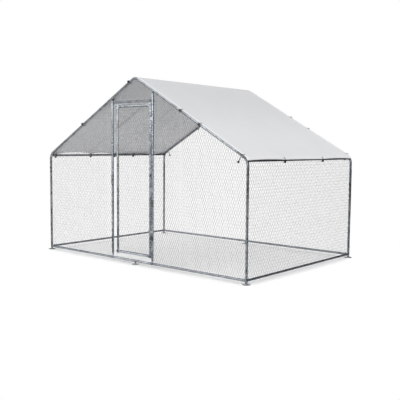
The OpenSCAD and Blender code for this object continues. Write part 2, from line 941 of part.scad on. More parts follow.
// Spool-shaped eyelet, pressed round the hole in the cover
module eyelet() {
    inner = eyelet_r;
    flange = eyelet_r + eyelet_flange;
    half = cover_t / 2 + eyelet_gap;
    rotate([90, 0, 0])
        rotate_extrude()
            polygon([
                [inner, -half - eyelet_t], [flange, -half - eyelet_t], [flange, -half],
                [eyelet_barrel_r, -half], [eyelet_barrel_r, half], [flange, half],
                [flange, half + eyelet_t], [inner, half + eyelet_t]
            ]);
}

module cover_eyelets() {
    color(steel)
        for (seat = concat(bungee_seats, corner_seats))
            at_bungee(seat)
                translate([-cord_in, cover_in + cover_t / 2, 0])
                    eyelet();
}

// One face of the cover across the gable, measured from the centre of the ridge's bend:
// the right edge and the fold over the right eave
function cover_side(offset) = let(
    along = [cos(pitch), -sin(pitch)],
    up = [sin(pitch), cos(pitch)],
    run = slope_len - ridge_tangent - elbow_tangent + eave_flat,
    centre = run * along + (ridge_r - fold_r) * up,
    radius = fold_r + offset,
    flap = eave_flat + cover_edge
) concat(
    [centre + radius * [sin(eave_tilt), cos(eave_tilt)] + flap * [cos(eave_tilt), -sin(eave_tilt)]],
    [for (i = [fold_steps : -1 : 0])
        let(turn = pitch + (eave_tilt - pitch) * i / fold_steps) centre + radius * [sin(turn), cos(turn)]]
);

// The whole face, from the right edge over the ridge to the left edge
function cover_line(offset) = concat(
    cover_side(offset),
    [for (i = [-ridge_steps : ridge_steps])
        let(turn = -pitch * i / ridge_steps) (ridge_r + offset) * [sin(turn), cos(turn)]],
    [for (point = reversed(cover_side(offset))) [-point.x, point.y]]
);

function reversed(list) = [for (i = [len(list) - 1 : -1 : 0]) list[i]];

// One sheet over both slopes, rounded over the ridge and folded down to the eave rails
module roof_cover() {
    depth = run_d + 2 * cover_edge;
    color(cover_grey)
        difference() {
            translate([0, depth / 2, ridge_centre_z])
                rotate([90, 0, 0])
                    linear_extrude(height = depth)
                        polygon(concat(cover_line(cover_out), reversed(cover_line(cover_in))));
            for (seat = concat(bungee_seats, corner_seats))
                at_bungee(seat)
                    translate([-cord_in, cover_in + cover_t / 2, 0])
                        rotate([90, 0, 0])
                            cylinder(r = eyelet_barrel_r + eyelet_gap, h = cover_t + 2, center = true);
        }
}

front_left_foot();
front_right_foot();
back_left_foot();
back_right_foot();
front_middle_foot();
back_middle_foot();
front_left_post();
front_right_post();
back_left_post();
back_right_post();
front_left_elbow();
front_right_elbow();
back_left_elbow();
back_right_elbow();
front_left_rafter();
front_right_rafter();
back_left_rafter();
back_right_rafter();
front_ridge_elbow();
back_ridge_elbow();
ridge_pole();
left_eave_rail();
right_eave_rail();
front_base_rail_left();
front_base_rail_right();
back_base_rail_left();
back_base_rail_right();
left_base_rail();
right_base_rail();
left_door_post();
right_door_post();
door_header();
frame_screws();
frame_bolts();
door_hinge_stile();
door_latch_stile();
door_top_rail();
door_bottom_rail();
upper_hinge();
lower_hinge();
door_bolts();
door_netting();
door_ties();
latch_button();
left_netting();
right_netting();
back_netting();
front_left_netting();
front_right_netting();
gable_netting();
roof_left_netting();
roof_right_netting();
netting_ties();
roof_cover();
cover_eyelets();
bungee_cords();
bungee_balls();
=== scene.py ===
import math
import bmesh
import bpy
from mathutils import Matrix, Vector, noise


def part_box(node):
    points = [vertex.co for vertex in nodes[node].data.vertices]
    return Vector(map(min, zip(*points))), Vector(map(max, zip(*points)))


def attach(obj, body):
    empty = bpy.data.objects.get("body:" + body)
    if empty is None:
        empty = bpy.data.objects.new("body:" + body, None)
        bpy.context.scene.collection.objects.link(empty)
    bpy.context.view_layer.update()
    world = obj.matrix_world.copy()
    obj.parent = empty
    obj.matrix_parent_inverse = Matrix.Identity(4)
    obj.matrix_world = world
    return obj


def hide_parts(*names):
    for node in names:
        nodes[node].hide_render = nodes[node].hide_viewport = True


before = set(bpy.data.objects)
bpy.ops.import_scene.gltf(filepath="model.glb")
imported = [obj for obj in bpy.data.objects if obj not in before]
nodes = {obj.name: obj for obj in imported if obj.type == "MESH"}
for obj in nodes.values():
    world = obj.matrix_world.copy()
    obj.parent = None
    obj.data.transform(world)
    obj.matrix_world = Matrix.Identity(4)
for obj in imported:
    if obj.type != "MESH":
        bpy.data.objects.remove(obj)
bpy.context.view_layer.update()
scene = bpy.context.scene
scene.view_settings.view_transform = "Standard"
print("frame loaded:", len(nodes), "nodes")

# lines of the tube frame, in metres
run = {
    "halfWidth": 1.5,
    "halfDepth": 1.0,
    "peak": 2.012,
    "eave": 1.168,
    "baseHeight": 0.038,
    "elbowRadius": 0.11,
    "ridgeRadius": 0.08,
    "latchPost": -0.365,
    "hingePost": 0.26,
    "headerHeight": 1.7576,
}
pitch = math.atan((run["peak"] - run["eave"]) / run["halfWidth"])
slopeLength = run["halfWidth"] / math.cos(pitch)
elbowTurn = math.pi / 2 - pitch
elbowTangent = run["elbowRadius"] * math.tan(elbowTurn / 2)
ridgeTangent = run["ridgeRadius"] * math.tan(pitch)
ridgeCentre = run["peak"] - run["ridgeRadius"] / math.cos(pitch)
ridgeHeight = ridgeCentre + run["ridgeRadius"]
eaveX = run["halfWidth"] - run["elbowRadius"] * (1 - math.cos(elbowTurn / 2))
eaveHeight = run["eave"] - elbowTangent + run["elbowRadius"] * math.sin(elbowTurn / 2)


def rafterHeight(x):
    return run["peak"] - abs(x) * math.tan(pitch)


def smooth(x):
    x = min(1.0, max(0.0, x))
    return x * x * (3 - 2 * x)


# camera where the photographer stood
view = {
    "place": (4.98379, -5.72224, 1.30183),
    "azimuth": 40.71,
    "elevation": 4.964,
    "roll": 0.4516,
    "lens": 57.12,
    "sensor": 36,
    "farClip": 200,
}


def placeCamera():
    az, el, roll = (math.radians(view[k]) for k in ("azimuth", "elevation", "roll"))
    back = Vector((math.sin(az) * math.cos(el), -math.cos(az) * math.cos(el), math.sin(el)))
    side = (-back).cross(Vector((0, 0, 1))).normalized()
    up = side.cross(-back)
    right = math.cos(roll) * side + math.sin(roll) * up
    top = math.cos(roll) * up - math.sin(roll) * side
    data = bpy.data.cameras.new("camera")
    data.lens = view["lens"]
    data.sensor_width = view["sensor"]
    data.clip_end = view["farClip"]
    camera = bpy.data.objects.new("camera", data)
    scene.collection.objects.link(camera)
    turn = Matrix((right, top, back)).transposed().to_4x4()
    camera.matrix_world = Matrix.Translation(view["place"]) @ turn
    scene.camera = camera


placeCamera()
print("camera placed")


# a socket that takes part in sums
class Flow:
    def __init__(self, finish, socket):
        self.finish = finish
        self.socket = socket

    def do(self, operation, *others):
        values = dict(enumerate((self,) + others))
        return self.finish.make("ShaderNodeMath", {"operation": operation}, values)

    def __add__(self, other):
        return self.do("ADD", other)

    def __sub__(self, other):
        return self.do("SUBTRACT", other)

    def __rsub__(self, other):
        return self.finish.make("ShaderNodeMath", {"operation": "SUBTRACT"}, {0: other, 1: self})

    def __mul__(self, other):
        return self.do("MULTIPLY", other)

    def __truediv__(self, other):
        return self.do("DIVIDE", other)

    __radd__ = __add__
    __rmul__ = __mul__


# a material under construction
class Finish:
    def __init__(self, name, world=False):
        self.owner = (bpy.data.worlds if world else bpy.data.materials).new(name)
        self.owner.use_nodes = True
        self.tree = self.owner.node_tree
        self.tree.nodes.clear()
        self.shader = self.tree.nodes.new("ShaderNodeBackground" if world else "ShaderNodeBsdfPrincipled")
        out = self.tree.nodes.new("ShaderNodeOutputWorld" if world else "ShaderNodeOutputMaterial")
        self.tree.links.new(self.shader.outputs[0], out.inputs["Surface"])

    # any node: its type, its settings, then the values or links of its sockets
    def make(self, kind, settings=None, inputs=None, output=0):
        node = self.tree.nodes.new(kind)
        for key, value in (settings or {}).items():
            setattr(node, key, value)
        self.feed(node, inputs or {})
        return Flow(self, node.outputs[output])

    def feed(self, node, inputs):
        for key, value in inputs.items():
            if isinstance(value, Flow):
                self.tree.links.new(value.socket, node.inputs[key])
            else:
                node.inputs[key].default_value = value

    def set(self, **inputs):
        self.feed(self.shader, {k.replace("_", " "): v for k, v in inputs.items()})
        return self.owner

    def coords(self, source="Object"):
        return self.make("ShaderNodeTexCoord", output=source)

    def axis(self, where, name):
        return self.make("ShaderNodeSeparateXYZ", None, {0: where}, name)

    def noise(self, where, scale, detail, rough):
        values = {"Vector": where, "Scale": scale, "Detail": detail, "Roughness": rough}
        return self.make("ShaderNodeTexNoise", None, values)

    def cells(self, where, scale, output):
        values = {"Vector": where, "Scale": scale}
        return self.make("ShaderNodeTexVoronoi", {"feature": "F1"}, values, output)

    def mix(self, factor, a, b):
        a, b = (c if isinstance(c, Flow) else (*c, 1) for c in (a, b))
        return self.make("ShaderNodeMix", {"data_type": "RGBA"}, {0: factor, 6: a, 7: b}, 2)

    def between(self, value, low, high):
        values = {0: value, 1: low, 2: high, 3: 0.0, 4: 1.0}
        return self.make("ShaderNodeMapRange", {"interpolation_type": "SMOOTHSTEP"}, values)

    def bump(self, height, strength, distance):
        values = {"Height": height, "Strength": strength, "Distance": distance}
        return self.make("ShaderNodeBump", None, values)


# zinc coating; a noise is given by its scale, detail and roughness, a bump by its strength and depth
zincStyle = {
    "cloud": (9.0, 4, 0.6),
    "fine": (420.0, 2, 0.6),
    "crystalShare": 0.38,
    "cloudShare": 0.42,
    "fineShare": 0.2,
    "dullFrom": (0.35, 0.7),
    "dullRough": 0.14,
    "crystalRough": 0.08,
    "fineBump": 0.5,
    "crystalBump": 0.3,
    "bump": (0.18, 0.0006),
}


# zinc-coated steel: crystals of zinc, fine grain and dull patches, and on some tubes painted shade that
# darkens them towards the top
def zincFinish(name, dark, light, metal, rough, crystals, soft=0.25, paintedShade=None):
    z = zincStyle
    f = Finish(name)
    where = f.coords()
    tone = f.make("ShaderNodeSeparateColor", None, {0: f.cells(where, crystals, "Color")})
    cloud = f.noise(where, *z["cloud"])
    fine = f.noise(where, *z["fine"])
    shade = tone * z["crystalShare"] + cloud * z["cloudShare"] + fine * z["fineShare"]
    colour = f.mix(f.between(shade, 0.5 - soft, 0.5 + soft), dark, light)
    # painted shade: the colour is drawn towards a dark tone higher up
    if paintedShade:
        high = f.between(f.axis(where, "Z"), *paintedShade["heights"])
        colour = f.mix(high * paintedShade["share"], colour, paintedShade["tone"])
    dull = f.between(cloud, *z["dullFrom"])
    return f.set(
        Base_Color=colour,
        Metallic=metal,
        Roughness=rough + dull * z["dullRough"] + tone * z["crystalRough"],
        Normal=f.bump(fine * z["fineBump"] + tone * z["crystalBump"], *z["bump"]),
    )


# shape of the roof cover, lengths in metres
coverStyle = {
    "seat": 0.01395,      # middle of the sheet above the rafter's centre line
    "past": 0.0075,       # edge of the sheet past the centre line of the tube
    "fold": 0.015,        # bend over the eave, at the rafter's centre line
    "thick": 0.0015,
    "acrossCells": 190,
    "alongCells": 112,
    "sag": 0.0085,
    "sagCurve": 1.4,
    "rim": 0.3,           # strip along the eave that is drawn up
    # creases: broad ones along the diagonal and a few sharp ones
    "crease": 0.0022,
    "broadScale": 1.5,
    "broadSkew": 0.8,
    "broadStretch": (0.5, 0.4),
    "broadSeed": 3.1,
    "sharpShare": 0.7,
    "sharpScale": (2.4, 0.9),
    "sharpSeed": 7.7,
    "sharpness": 6,
    # one fold from the packing that has stayed in the left slope
    "pleat": -0.42,
    "pleatFrom": 0.42,
    "pleatTo": 1.22,
    "pleatSoft": 0.24,
    "pleatWidth": 0.036,
    "pleatDepth": 0.005,
    # bungees along each eave, and how far the edge draws up at and between them
    "leftEave": (0.0, 0.07, 0.62, 1.04, 1.376, 1.93, 2.0),
    "leftDrawn": (0.012, 0.016, 0.019, 0.006, 0.0, 0.014, 0.012),
    "leftBetween": (0.0, 0.03, 0.022, 0.002, 0.012, 0.0),
    "rightEave": (0.0, 0.07, 0.62, 1.36, 1.93, 2.0),
    "rightDrawn": (0.004, 0.005, 0.003, 0.0, 0.002, 0.0),
    "rightBetween": (0.0, 0.006, 0.001, 0.006, 0.0),
}

# look of its cloth; on each side one share sets how dark the fold marks and the painted crease shade get
clothStyle = {
    "outside": {"pale": (0.615, 0.622, 0.635), "grey": (0.51, 0.517, 0.53), "rough": 0.42, "foldMarkAndShade": 0.1},
    "inside": {"pale": (0.69, 0.694, 0.706), "grey": (0.61, 0.614, 0.626), "rough": 0.5, "foldMarkAndShade": 0.75},
    "tape": 0.0052,
    "sheen": 0.2,
    "ridgeShadeFrom": (0.1, 1.5),     # distances from the ridge over which the painted shade fades from grey to pale
    "ridgeShadeShare": 0.7,
    "grimeShare": 0.2,
    "weaveShare": 0.1,
    # folds from the packing, worn away in places; one fold line falls on the pleat and adds to its
    # painted crease shade
    "foldAcross": 0.4308,
    "foldAlong": 0.5038,
    "foldStart": 1.3337,
    "foldSoft": 0.045,
    "foldFine": 0.012,
    "foldFaint": 0.4,
    "foldTone": 0.8,
    "foldRough": 0.06,
    "worn": (1.3, 1, 0.4),
    "wornFrom": (0.38, 0.56),
    "pleatShadeHalf": 0.0504,         # half the width of the painted crease shade along the pleat
    "pleatShadeShare": 1.5,
    # hem and its stitches
    "hem": 0.034,
    "hemSoft": 0.001,
    "hemPale": (0.76, 0.765, 0.775),
    "hemShare": 0.1,
    "endHemShare": 0.5,
    "stitch": 0.006,
    "stitchIn": 0.004,
    "stitchWidth": (0.0004, 0.0009),
    "stitchLength": 0.62,
    "thread": (0.9, 0.9, 0.9),
    "threadShare": 0.8,
    # dust and grime
    "patch": (2.3, 4, 0.6),
    "patchShare": 0.6,
    "dust": (14.0, 5, 0.65),
    "dustShare": 0.4,
    "dustRough": 0.14,
    "grimeFrom": (0.3, 0.7),
    # relief
    "weaveBump": 0.25,
    "foldBump": 0.9,
    "hemBump": 0.6,
    "stitchBump": 0.5,
    "dustBump": 0.3,
    "bump": (0.35, 0.0009),
}


# coated woven sheet: tapes crossing, folds from its packing, dust and a stitched hem, with painted shade
# near the ridge and along the pleat
def coverFinish(name, size, pale, grey, rough, foldMarkAndShade):
    c = clothStyle
    f = Finish(name)
    flat = f.coords("UV")
    where = f.coords()
    across = (f.axis(flat, "X") - 0.5) * size[0]
    along = (f.axis(flat, "Y") - 0.5) * size[1]
    tape = 2 * math.pi / c["tape"]
    weave = (across * tape).do("SINE") * (along * tape).do("SINE") * 0.5 + 0.5
    acrossFold = ((across / c["foldAcross"]).do("FRACT") - 0.5).do("ABSOLUTE")
    alongFold = ((along / c["foldAlong"] + c["foldStart"]).do("FRACT") - 0.5).do("ABSOLUTE")
    fold = (1 - f.between(acrossFold, 0.0, c["foldFine"])) * c["foldFaint"]
    fold = fold.do("MAXIMUM", 1 - f.between(alongFold, 0.0, c["foldSoft"]))
    fold = fold * f.between(f.noise(where, *c["worn"]), *c["wornFrom"])
    # painted shade along the crease of the pleat, darker than the fold marks
    fromPleat = (along - coverStyle["pleat"]).do("ABSOLUTE")
    pleat = 1 - f.between(fromPleat, 0.0, c["pleatShadeHalf"])
    start, stop, soft = (coverStyle[k] for k in ("pleatFrom", "pleatTo", "pleatSoft"))
    left = across * -1
    pleat = pleat * f.between(left, start, start + soft) * (1 - f.between(left, stop - soft, stop))
    fold = fold.do("MAXIMUM", pleat * c["pleatShadeShare"])
    fromEnd = size[1] / 2 - along.do("ABSOLUTE")
    edge = (size[0] / 2 - across.do("ABSOLUTE")).do("MINIMUM", fromEnd)
    hemFrom = (c["hem"] - c["hemSoft"], c["hem"])
    hem = 1 - f.between(edge, *hemFrom)
    endHem = 1 - f.between(fromEnd, *hemFrom)
    seam = c["hem"] - c["stitchIn"]
    line = 1 - f.between((edge - seam).do("ABSOLUTE"), *c["stitchWidth"])
    dash = ((across + along) / c["stitch"]).do("FRACT").do("LESS_THAN", c["stitchLength"])
    stitch = line * dash
    patch = f.noise(where, *c["patch"])
    dust = f.noise(where, *c["dust"])
    grime = f.between(patch * c["patchShare"] + dust * c["dustShare"], *c["grimeFrom"])
    # painted shade: the sheet is greyer near the ridge and paler towards the eaves; grime and weave add
    # their own tone
    shade = f.between(across.do("ABSOLUTE"), *c["ridgeShadeFrom"]) * c["ridgeShadeShare"]
    shade = shade + grime * c["grimeShare"] + weave * c["weaveShare"]
    colour = f.mix(shade, grey, pale)
    # fold marks darken the colour; along the pleat this darkening is painted crease shade
    colour = f.mix(fold * foldMarkAndShade, colour, tuple(level * c["foldTone"] for level in grey))
    colour = f.mix(hem * c["hemShare"] + endHem * c["endHemShare"], colour, c["hemPale"])
    colour = f.mix(stitch * c["threadShare"], colour, c["thread"])
    height = weave * c["weaveBump"] + fold * c["foldBump"] + hem * c["hemBump"]
    height = height + stitch * c["stitchBump"] + dust * c["dustBump"]
    return f.set(
        Base_Color=colour,
        Roughness=rough + dust * c["dustRough"] - fold * c["foldRough"],
        Specular_IOR_Level=c["sheen"],
        Normal=f.bump(height, *c["bump"]),
    )


cordStyle = {
    "braid": 900.0,
    "braidFrom": (0.3, 0.9),
    "fuzz": (240.0, 3, 0.6),
    "fuzzShare": 0.4,
    "light": (0.028, 0.028, 0.03),
    "dark": (0.009, 0.009, 0.01),
    "rough": 0.62,
    "fuzzRough": 0.25,
    "sheen": 0.2,
    "bump": (0.5, 0.0006),
}


# black elastic with a braided sleeve
def cordFinish():
    c = cordStyle
    f = Finish("braidedElastic")
    where = f.coords()
    braid = f.cells(where, c["braid"], "Distance")
    fuzz = f.noise(where, *c["fuzz"])
    colour = f.mix(f.between(braid + fuzz * c["fuzzShare"], *c["braidFrom"]), c["light"], c["dark"])
    return f.set(
        Base_Color=colour,
        Roughness=c["rough"] + fuzz * c["fuzzRough"],
        Specular_IOR_Level=c["sheen"],
        Normal=f.bump(1 - braid, *c["bump"]),
    )


ballStyle = {
    "bloom": (60.0, 4, 0.6),
    "grain": (700.0, 2, 0.5),
    "dark": (0.011, 0.011, 0.012),
    "light": (0.024, 0.024, 0.025),
    "rough": 0.26,
    "bloomRough": 0.2,
    "sheen": 0.25,
    "bump": (0.1, 0.0004),
}


# moulded ball: smooth black with a faint matt bloom
def ballFinish():
    b = ballStyle
    f = Finish("mouldedBall")
    where = f.coords()
    bloom = f.noise(where, *b["bloom"])
    grain = f.noise(where, *b["grain"])
    return f.set(
        Base_Color=f.mix(bloom, b["dark"], b["light"]),
        Roughness=b["rough"] + bloom * b["bloomRough"],
        Specular_IOR_Level=b["sheen"],
        Normal=f.bump(grain, *b["bump"]),
    )


coverRadius = run["ridgeRadius"] + coverStyle["seat"]
foldRadius = coverStyle["fold"] + coverStyle["seat"]
eaveFlat = (run["elbowRadius"] - coverStyle["fold"]) * math.tan(elbowTurn / 4)
# half of the sheet from the ridge down: each length with its radius, or none where it is straight
coverPath = (
    (coverRadius * pitch, coverRadius),
    (slopeLength - ridgeTangent - elbowTangent + eaveFlat, None),
    (foldRadius * elbowTurn / 2, foldRadius),
    (eaveFlat + coverStyle["past"], None),
)
coverHalf = sum(length for length, radius in coverPath)
coverFlat = (2 * coverHalf, 2 * (run["halfDepth"] + coverStyle["past"]))

# crystals are counted in a metre, and soft is half the range of shade from the dark to the light tone
finishes = {
    "tube": zincFinish(
        "galvanisedTube", dark=(0.14, 0.155, 0.172), light=(0.36, 0.383, 0.41),
        metal=0.92, rough=0.19, crystals=95.0),
    # painted shade: a darker copy of the tube finish
    "paintedShadeTube": zincFinish(
        "tubeWithPaintedShade", dark=(0.11, 0.122, 0.136), light=(0.29, 0.309, 0.332),
        metal=0.92, rough=0.2, crystals=95.0,
        paintedShade={"heights": (0.4, 1.0), "share": 0.6, "tone": (0.03, 0.034, 0.038)}),
    "strap": zincFinish(
        "galvanisedStrap", dark=(0.2, 0.216, 0.233), light=(0.42, 0.44, 0.465),
        metal=0.9, rough=0.26, crystals=150.0),
    "hardware": zincFinish(
        "zincHardware", dark=(0.05, 0.054, 0.06), light=(0.13, 0.136, 0.145),
        metal=0.82, rough=0.36, crystals=320.0),
    "wire": zincFinish(
        "galvanisedWire", dark=(0.05, 0.053, 0.057), light=(0.62, 0.63, 0.64),
        metal=0.8, rough=0.32, crystals=70.0, soft=0.06),
    # painted shade on the outward faces of the wall netting
    "paintedShadeWire": zincFinish(
        "wireWithPaintedShade", dark=(0.02, 0.0215, 0.023), light=(0.12, 0.123, 0.127),
        metal=0.8, rough=0.36, crystals=70.0, soft=0.06),
    # painted light on the inward faces of the wall netting
    "paintedLightWire": zincFinish(
        "wireWithPaintedLight", dark=(0.68, 0.685, 0.69), light=(0.9, 0.905, 0.91),
        metal=0.2, rough=0.36, crystals=70.0, soft=0.2),
    "eyelet": zincFinish(
        "pressedEyelet", dark=(0.5, 0.505, 0.51), light=(0.66, 0.665, 0.67),
        metal=0.9, rough=0.24, crystals=500.0),
    "cord": cordFinish(),
    "ball": ballFinish(),
    "cover": coverFinish("coverOutside", coverFlat, **clothStyle["outside"]),
    "inside": coverFinish("coverInside", coverFlat, **clothStyle["inside"]),
}

# tubes on the right and at the back, with painted shade that darkens them towards the top
paintedShadeTubes = (
    "front_right_post", "front_right_elbow", "back_right_post", "back_right_elbow", "right_eave_rail",
    "back_left_post", "back_base_rail_left", "back_base_rail_right",
)


def nodeFinish(name):
    if name in paintedShadeTubes:
        return "paintedShadeTube"
    if name in ("frame_screws", "frame_bolts", "door_bolts"):
        return "hardware"
    if name in ("upper_hinge", "lower_hinge", "latch_button"):
        return "strap"
    if name.endswith("ties") or name.endswith("netting"):
        return "wire"
    return {"cover_eyelets": "eyelet", "bungee_cords": "cord", "bungee_balls": "ball"}.get(name, "tube")


def paint(piece, *looks):
    piece.data.materials.clear()
    for look in looks:
        piece.data.materials.append(finishes[look])


for name, piece in nodes.items():
    paint(piece, nodeFinish(name))
print("finishes set on", len(nodes), "nodes")


# hexagonal netting: every wire is one long curve that turns round its neighbours
netStyle = {
    "cell": 0.0285,
    "row": 0.032,
    "rowStart": 0.25,     # first row below the panel's edge, in rows
    "twist": 0.0135,
    "wire": 0.0009,
    "wireSides": 3,
    "steps": 2,
    "borderScale": 1.8,
    "borderStep": 0.03,
    "wave": 0.0022,
    "waveScale": 2.6,
    "seedStep": 0.37,
    "plane": 0.0136,      # middle of the netting from a tube's centre line
    "roofInset": 0.0135,
    "postGap": 0.019,     # edge of a panel from the centre line of a door post
    "rightShadeTurn": 0.6,     # the right wall's wires get the painted shade over more of their girth
}


def wireProfile():
    curve = bpy.data.curves.new("wireProfile", "CURVE")
    line = curve.splines.new("POLY")
    line.points.add(netStyle["wireSides"] - 1)
    for i, point in enumerate(line.points):
        a = 2 * math.pi * i / netStyle["wireSides"]
        point.co = (netStyle["wire"] * math.cos(a), netStyle["wire"] * math.sin(a), 0, 1)
    line.use_cyclic_u = True
    piece = bpy.data.objects.new("wireProfile", curve)
    scene.collection.objects.link(piece)
    return piece


# wires of a panel as plain edges, X across and Z up, trimmed to its outline
def netWires(outline):
    s = netStyle
    left, right = (f(p[0] for p in outline) for f in (min, max))
    low, high = (f(p[1] for p in outline) for f in (min, max))
    columns = int((right - left) / s["cell"]) + 2
    rows = int((high - low) / s["row"]) + 2
    bm = bmesh.new()
    tip = None
    for i in range(rows):
        odd = i % 2
        for k in range(s["steps"] + 1):
            a = math.pi * odd + 2 * math.pi * k / s["steps"]
            place = Vector((
                left + odd * s["cell"] / 2 + s["wire"] * math.cos(a),
                s["wire"] * math.sin(a),
                low + (i - s["rowStart"]) * s["row"] + s["twist"] * (k / s["steps"] - 0.5),
            ))
            if tip is None:
                tip = bmesh.ops.create_vert(bm, co=place)["vert"][0]
            else:
                tip = bmesh.ops.extrude_vert_indiv(bm, verts=[tip])["verts"][0]
                tip.co = place
    one = bm.verts[:] + bm.edges[:]
    twin = bmesh.ops.duplicate(bm, geom=one)["geom"]
    turned = [g for g in twin if isinstance(g, bmesh.types.BMVert)]
    bmesh.ops.rotate(bm, cent=(left, 0, 0), matrix=Matrix.Rotation(math.pi, 3, "Z"), verts=turned)
    pair = one + twin
    for j in range(1, columns):
        copy = bmesh.ops.duplicate(bm, geom=pair)["geom"]
        moved = [g for g in copy if isinstance(g, bmesh.types.BMVert)]
        bmesh.ops.translate(bm, vec=(j * s["cell"], 0, 0), verts=moved)
    for p, q in zip(outline, outline[1:] + outline[:1]):
        every = bm.verts[:] + bm.edges[:]
        out = (q[1] - p[1], 0, p[0] - q[0])
        bmesh.ops.bisect_plane(bm, geom=every, plane_co=(p[0], 0, p[1]), plane_no=out, clear_outer=True)
    return bm


def borderPoints(outline):
    points = []
    for p, q in zip(outline, outline[1:] + outline[:1]):
        start, end = Vector((p[0], 0, p[1])), Vector((q[0], 0, q[1]))
        count = max(1, int((end - start).length / netStyle["borderStep"]))
        points += [start.lerp(end, i / count) for i in range(count)]
    return points


def addLine(curve, points, scale=1.0, closed=False):
    line = curve.splines.new("POLY")
    line.points.add(len(points) - 1)
    for point, place in zip(line.points, points):
        point.co = (*place, 1)
        point.radius = scale
    line.use_cyclic_u = closed


# runs of joined edges, from one loose end to the other
def wireRuns(bm):
    seen = set()
    for start in bm.verts:
        if len(start.link_edges) != 1 or start in seen:
            continue
        joined, last, here = [], None, start
        while here:
            seen.add(here)
            joined.append(here)
            ahead = [e.other_vert(here) for e in here.link_edges if e.other_vert(here) is not last]
            last, here = here, (ahead[0] if ahead else None)
        yield joined


# one panel: settle bends it, and faces that look inwards by more than turn get the second look; on the
# walls the first look is painted shade and the second painted light
def makeNetting(name, node, outline, place, settle=None, body="frame",
                looks=("paintedShadeWire", "paintedLightWire"), turn=0.0):
    seed = sum(map(ord, name)) * netStyle["seedStep"]
    scale = netStyle["waveScale"]

    def seat(co):
        wave = noise.noise(Vector((co.x * scale, co.z * scale, seed)))
        co = Vector((co.x, co.y + netStyle["wave"] * wave, co.z))
        return place @ (settle(co) if settle else co)

    bm = netWires(outline)
    curve = bpy.data.curves.new(name, "CURVE")
    curve.dimensions = "3D"
    curve.bevel_mode = "OBJECT"
    curve.bevel_object = profile
    curve.use_fill_caps = True
    for wires in wireRuns(bm):
        addLine(curve, [seat(v.co) for v in wires])
    bm.free()
    addLine(curve, [seat(p) for p in borderPoints(outline)], netStyle["borderScale"], True)
    drawn = bpy.data.objects.new(name + "Curve", curve)
    scene.collection.objects.link(drawn)
    bpy.context.view_layer.update()
    mesh = bpy.data.meshes.new_from_object(drawn.evaluated_get(bpy.context.evaluated_depsgraph_get()))
    bpy.data.objects.remove(drawn)
    mesh.name = name
    piece = bpy.data.objects.new(name, mesh)
    scene.collection.objects.link(piece)
    paint(piece, *looks)
    bm = bmesh.new()
    bm.from_mesh(mesh)
    bmesh.ops.recalc_face_normals(bm, faces=bm.faces[:])
    inward = place.to_3x3() @ Vector((0, 1, 0))
    for face in bm.faces:
        face.material_index = int(face.normal.dot(inward) > turn)
    bm.to_mesh(mesh)
    bm.free()
    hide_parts(node)
    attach(piece, body)
    print(name, "has", sum(len(p.vertices) - 2 for p in mesh.polygons), "triangles")


# outline of a gable panel, with its corners cut along the bends of the tube
def gableOutline(x0, x1, low):
    cut = run["elbowRadius"] * (1 / math.cos(elbowTurn / 2) - 1) / math.sin(elbowTurn / 2)
    top = (run["peak"] - ridgeHeight) / math.tan(pitch)
    corner = run["halfWidth"] - cut * math.cos(pitch)
    points = [(x0, low), (x1, low)]
    if x1 >= run["halfWidth"]:
        points += [(x1, run["eave"] - cut), (corner, rafterHeight(corner))]
    else:
        points += [(x1, rafterHeight(x1))]
    if x0 < 0 < x1:
        points += [(top, ridgeHeight), (-top, ridgeHeight)]
    if x0 <= -run["halfWidth"]:
        points += [(-corner, rafterHeight(corner)), (x0, run["eave"] - cut)]
    else:
        points += [(x0, rafterHeight(x0))]
    return points


# how the netting lies against a door post and the eave rail, in metres
netSeat = {
    "reach": 0.07,
    "foot": 0.1,
    "head": 0.06,
    "fade": 0.12,
    "aside": 0.0045,
    "inwards": 0.0125,
    "leanBelow": 0.16,
    "leanOver": 0.15,
}


# the edge beside a door post bends in to lie against the side of the tube
def towardsPost(post, side):
    n = netSeat
    top = rafterHeight(post) - n["head"]

    def settle(co):
        near = smooth(1 - (side * (co.x - post) - netStyle["postGap"]) / n["reach"])
        middle = smooth((co.z - n["foot"]) / n["fade"]) * smooth((top - co.z) / n["fade"])
        pull = near * middle
        return Vector((co.x - side * n["aside"] * pull, co.y + n["inwards"] * pull, co.z))
    return settle


# the top of a side panel leans in with the bend of the posts and meets the eave rail
def towardsEave(co):
    lean = smooth((co.z - run["eave"] + netSeat["leanBelow"]) / netSeat["leanOver"])
    return Vector((co.x, co.y + (run["halfWidth"] - eaveX) * lean, co.z))


